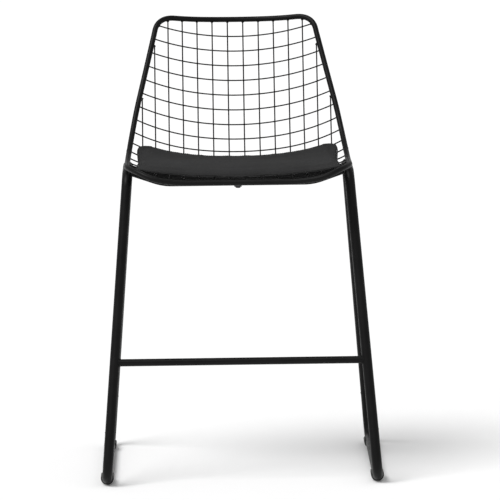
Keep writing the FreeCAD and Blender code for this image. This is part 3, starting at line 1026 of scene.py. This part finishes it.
@dataclass
class SeatPad:
    """The loose pad: a swollen cover with a piped seam round its edge."""

    voxel: float = 0.0045
    merge: float = 1e-5
    smoothing: int = 10
    pressure: float = 4.0
    steps: int = 20
    swell_top: float = 0.0034
    swell_side: float = 0.0026
    swell_floor: float = 0.0012
    swell_quick: float = 0.002
    top_lean: float = 0.5
    floor_lean: float = -0.3
    seam_points: int = 300
    seam_window: float = 0.022
    seam_edge: float = 0.0015
    seam_smoothing: int = 12
    seam_draw: float = 0.0016
    seam_reach: float = 0.0045
    piping: float = 0.0017
    piping_sink: float = 0.3
    piping_level: float = 0.3
    stitch_inset: float = 0.0085
    stitch_length: float = 0.0031
    thread: float = 0.0005
    look_down: float = 0.1

    def build(self, cloth: Finish, thread: Finish) -> None:
        """Make the pad, its seam, its piping and its stitches.

        Args:
            cloth: the finish of the cover.
            thread: the finish of the stitches.
        """
        pad = self.blank()
        self.inflate(pad)
        seam = self.seam_line(pad)
        self.draw_seam(pad, seam)
        choose(pad)
        finer = pad.modifiers.new("finer", "SUBSURF")
        finer.levels = finer.render_levels = 1
        bpy.ops.object.modifier_apply(modifier=finer.name)
        bpy.ops.object.shade_smooth()
        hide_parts("pad_cover", "pad_foam", "pad_base")
        hand_over(pad, Body.PAD, cloth)
        cord = self.piped_edge(seam)
        hand_over(cord, Body.PAD, cloth)
        row = self.stitches(pad, seam)
        hand_over(row, Body.PAD, thread)

    def blank(self) -> Piece:
        """Make the pad before it swells.

        Returns:
            A copy of the foam, remeshed in even squares.
        """
        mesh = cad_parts["pad_foam"].data.copy()
        pad = bpy.data.objects.new("pad_cushion", mesh)
        bpy.context.scene.collection.objects.link(pad)
        choose(pad)
        bpy.ops.object.mode_set(mode="EDIT")
        bpy.ops.mesh.select_all(action="SELECT")
        bpy.ops.mesh.remove_doubles(threshold=self.merge)
        bpy.ops.object.mode_set(mode="OBJECT")
        voxels = pad.modifiers.new("voxels", "REMESH")
        voxels.mode = "VOXEL"
        voxels.voxel_size = self.voxel
        bpy.ops.object.modifier_apply(modifier=voxels.name)
        ease = pad.modifiers.new("ease", "SMOOTH")
        ease.iterations = self.smoothing
        bpy.ops.object.modifier_apply(modifier=ease.name)
        return pad

    def inflate(self, pad: Piece) -> None:
        """Swell the pad by cloth simulation, within the room that its place leaves.

        Args:
            pad: the remeshed pad.
        """
        rest = points_of(pad)
        normals = np.zeros(len(rest) * 3)
        pad.data.vertices.foreach_get("normal", normals)
        normals = normals.reshape(-1, 3)
        swollen = self.simulate(pad)
        move = swollen - rest
        room = np.where(normals[:, 2] > self.top_lean, self.swell_top, self.swell_side)
        room = np.where(normals[:, 2] < self.floor_lean, self.swell_floor, room)
        length = np.linalg.norm(move, axis=1)
        share = np.minimum(1.0, room / np.maximum(length, 1e-9))
        set_points(pad, rest + move * share[:, None])

    def simulate(self, pad: Piece) -> np.ndarray:
        """Run the cloth and return where its vertices end.

        Args:
            pad: the remeshed pad, left without the modifier.

        Returns:
            The vertices as rows of x, y, z.
        """
        choose(pad)
        modifier = pad.modifiers.new("swell", "CLOTH")
        cloth = modifier.settings
        cloth.quality = 5
        cloth.mass = 0.3
        cloth.tension_stiffness = cloth.compression_stiffness = 15
        cloth.shear_stiffness = 5
        cloth.bending_stiffness = 0.5
        cloth.use_pressure = True
        cloth.uniform_pressure_force = self.pressure
        cloth.effector_weights.gravity = 0
        modifier.point_cache.frame_end = self.steps
        scene = bpy.context.scene
        for step in range(1, self.steps + 1):
            scene.frame_set(step)
        graph = bpy.context.evaluated_depsgraph_get()
        shape = pad.evaluated_get(graph).to_mesh()
        flat = np.zeros(len(shape.vertices) * 3)
        shape.vertices.foreach_get("co", flat)
        pad.evaluated_get(graph).to_mesh_clear()
        pad.modifiers.remove(modifier)
        scene.frame_set(1)
        return flat.reshape(-1, 3)

    def seam_line(self, pad: Piece) -> np.ndarray:
        """Follow the pad's outermost edge.

        Args:
            pad: the swollen pad.

        Returns:
            Evenly spaced points of the seam, as rows of x, y, z.
        """
        points = points_of(pad)
        middle = (points.max(axis=0) + points.min(axis=0)) / 2
        away = points[:, :2] - middle[:2]
        angle = np.arctan2(away[:, 1], away[:, 0])
        span = np.linalg.norm(away, axis=1)
        line = []
        for turn in np.linspace(-math.pi, math.pi, self.seam_points, endpoint=False):
            near = np.abs(np.angle(np.exp(1j * (angle - turn)))) < self.seam_window
            reach = span[near].max()
            edge = points[near][span[near] > reach - self.seam_edge]
            outmost = middle[:2] + reach * np.array((math.cos(turn), math.sin(turn)))
            line.append((*outmost, edge[:, 2].mean()))
        line = np.array(line)
        for _ in range(self.seam_smoothing):
            line = (np.roll(line, 1, axis=0) + 2 * line + np.roll(line, -1, axis=0)) / 4
        closed = np.vstack([line, line[:1]])
        run = np.concatenate([[0], np.cumsum(np.linalg.norm(np.diff(closed, axis=0), axis=1))])
        even = np.linspace(0, run[-1], self.seam_points, endpoint=False)
        return np.stack([np.interp(even, run, closed[:, axis]) for axis in range(3)], axis=1)

    def draw_seam(self, pad: Piece, seam: np.ndarray) -> None:
        """Pull the cover in along the seam.

        Args:
            pad: the swollen pad, changed in place.
            seam: the seam's points.
        """
        points = points_of(pad)
        middle = seam.mean(axis=0)
        for index, point in enumerate(points):
            gap = np.linalg.norm(seam - point, axis=1).min()
            if gap < 3 * self.seam_reach:
                inward = middle[:2] - point[:2]
                inward /= np.linalg.norm(inward)
                share = math.exp(-((gap / self.seam_reach) ** 2))
                points[index, :2] += inward * self.seam_draw * share
        set_points(pad, points)

    def piped_edge(self, seam: np.ndarray) -> Piece:
        """The piping that is sewn into the seam.

        Args:
            seam: the seam's points.

        Returns:
            The piping as a mesh object.
        """
        count = len(seam)
        middle = Vector(seam.mean(axis=0))

        def at(turn: float) -> Vector:
            """Return the seam's point at a turn.

            Args:
                turn: from 0 to 1 round the seam.

            Returns:
                The point.
            """
            place = (turn % 1.0) * count
            low = int(place) % count
            share = place - int(place)
            return Vector(seam[low]).lerp(Vector(seam[(low + 1) % count]), share)

        def rings(turn: float) -> Ring:
            """Return the piping's centre, cross directions and radius at a turn.

            Args:
                turn: from 0 to 1 round the seam.

            Returns:
                The ring there.
            """
            centre = at(turn)
            along = (at(turn + 1.5 / count) - at(turn - 1.5 / count)).normalized()
            out = centre - middle
            out = (out - along * out.dot(along)).normalized()
            out = Vector((out.x, out.y, out.z * self.piping_level)).normalized()
            return centre - out * self.piping * self.piping_sink, out, along.cross(out), self.piping

        cord = ring_piece("pad_piping", rings, count, 10)
        settle(cord, SOFT_EDGES)
        return cord

    def stitch_pattern(self) -> Piece:
        """Model one stitch along Z at the origin.

        Returns:
            The stitch, with its ends drawn down into the cloth.
        """
        bpy.ops.object.select_all(action="DESELECT")
        bpy.ops.mesh.primitive_circle_add(
            vertices=6, radius=self.thread * 0.55, fill_type="NGON", location=(0, 0, -self.stitch_length / 2)
        )
        stitch = bpy.context.active_object
        stitch.name = "pad_stitch"
        bpy.ops.object.mode_set(mode="EDIT")
        bpy.ops.mesh.select_all(action="SELECT")
        for rise, grow in ((0.2, 1.8), (0.6, 1.0), (0.2, 0.55)):
            step = (0, 0, rise * self.stitch_length)
            bpy.ops.mesh.extrude_region_move(TRANSFORM_OT_translate={"value": step})
            bpy.ops.transform.resize(value=(grow, grow, 1))
        bpy.ops.object.mode_set(mode="OBJECT")
        return stitch

    def stitches(self, pad: Piece, seam: np.ndarray) -> Piece:
        """The row of stitches on the pad's top, inside its seam.

        Args:
            pad: the finished pad.
            seam: the seam's points.

        Returns:
            The stitches as one mesh object.
        """
        bpy.context.view_layer.update()
        middle = Vector(seam.mean(axis=0))
        places = []
        for here, ahead in zip(seam, np.roll(seam, -1, axis=0)):
            along = Vector(ahead) - Vector(here)
            inward = Vector((-along.y, along.x, 0)).normalized()
            if inward.dot(middle - Vector(here)) < 0:
                inward = -inward
            above = Vector(here) + inward * self.stitch_inset + Vector((0, 0, self.look_down))
            found, place, normal, _ = pad.ray_cast(above, Vector((0, 0, -1)))
            if found:
                flat = along - normal * along.dot(normal)
                places.append(facing(place, flat))
        row = join("pad_stitches", copies(self.stitch_pattern(), places))
        settle(row, SOFT_EDGES)
        return row


@dataclass
class Studio:
    """The pale floor, the soft lights and the camera."""

    camera_place: Colour = (0.0249, -10.6995, 1.9085)
    camera_turn: float = -0.61
    tilt: float = 7.607
    roll: float = -0.7
    lens: float = 351.8
    sensor: float = 36.0
    sight: float = 200.0
    floor_size: float = 160.0
    floor_colour: Colour = (0.95, 0.95, 0.95)
    sky_level: float = 0.55
    sun_from: Colour = (-0.42, -0.36, 0.83)
    sun_power: float = 2.1
    sun_softness: float = 34.0
    sun_distance: float = 4.0

    def build(self) -> None:
        """Make the floor, the light, the sky and the camera."""
        self.floor()
        self.sun()
        self.sky()
        self.camera()
        bpy.context.scene.view_settings.view_transform = "Standard"

    def floor(self) -> None:
        """A wide pale floor that shows white and keeps the stool's shadow."""
        bpy.ops.object.select_all(action="DESELECT")
        bpy.ops.mesh.primitive_plane_add(size=self.floor_size, location=(0, 0, 0))
        floor = bpy.context.active_object
        floor.name = "studio_floor"
        nodes = Nodes("pale_floor")
        nodes.give("Base Color", (*self.floor_colour, 1.0))
        nodes.give("Roughness", 1.0)
        nodes.give("Specular IOR Level", 0.0)
        floor.data.materials.append(nodes.material)

    def sky(self) -> None:
        """A white world that lights evenly and shows white to the camera."""
        world = bpy.data.worlds.new("studio")
        world.use_nodes = True
        bpy.context.scene.world = world
        tree = world.node_tree
        back = next(node for node in tree.nodes if node.type == "BACKGROUND")
        back.inputs["Color"].default_value = (1, 1, 1, 1)
        level = tree.nodes.new("ShaderNodeMapRange")
        level.inputs[3].default_value = self.sky_level
        level.inputs[4].default_value = 1.0
        path = tree.nodes.new("ShaderNodeLightPath")
        tree.links.new(path.outputs["Is Camera Ray"], level.inputs[0])
        tree.links.new(level.outputs[0], back.inputs["Strength"])

    def sun(self) -> None:
        """A broad soft light from the left, in front and above."""
        data = bpy.data.lights.new("key", "SUN")
        data.energy = self.sun_power
        data.angle = math.radians(self.sun_softness)
        lamp = bpy.data.objects.new("key", data)
        lamp.rotation_euler = (-Vector(self.sun_from)).to_track_quat("-Z", "Y").to_euler()
        lamp.location = Vector(self.sun_from) * self.sun_distance
        bpy.context.scene.collection.objects.link(lamp)

    def camera(self) -> None:
        """A long lens far in front of the stool, a little above it."""
        data = bpy.data.cameras.new("camera")
        data.lens = self.lens
        data.sensor_width = self.sensor
        data.clip_end = self.sight
        camera = bpy.data.objects.new("camera", data)
        place = Matrix.Translation(Vector(self.camera_place))
        aim = Matrix.Rotation(math.radians(90.0 - self.tilt), 4, "X")
        roll = Matrix.Rotation(math.radians(self.roll), 4, "Z")
        turn = Matrix.Rotation(math.radians(self.camera_turn), 4, "Z")
        camera.matrix_world = turn @ place @ aim @ roll
        bpy.context.scene.collection.objects.link(camera)
        bpy.context.scene.camera = camera


def main() -> None:
    """Build and dress each sub-assembly in turn, then the studio."""
    logging.basicConfig(level=logging.INFO, format="%(name)s: %(message)s")
    coat = PowderCoat().material()
    worn = PowderCoat(name="rubbed_powder_coat", scuffs=0.35).material()
    steel = DarkSteel().material()
    plastic = MouldedPlastic().material()
    cloth = WovenCloth().material()
    spun = WovenCloth(
        name="charcoal_thread", dark=(0.03, 0.03, 0.031), light=(0.06, 0.06, 0.061), yarn=0.0004
    )
    thread = spun.material()
    welds = Welds()
    WireShell().build(welds, coat)
    SideFrames().build(welds, coat, worn)
    Fasteners().build(steel, plastic)
    SeatPad().build(cloth, thread)
    Studio().build()


if __name__ == "__main__":
    main()
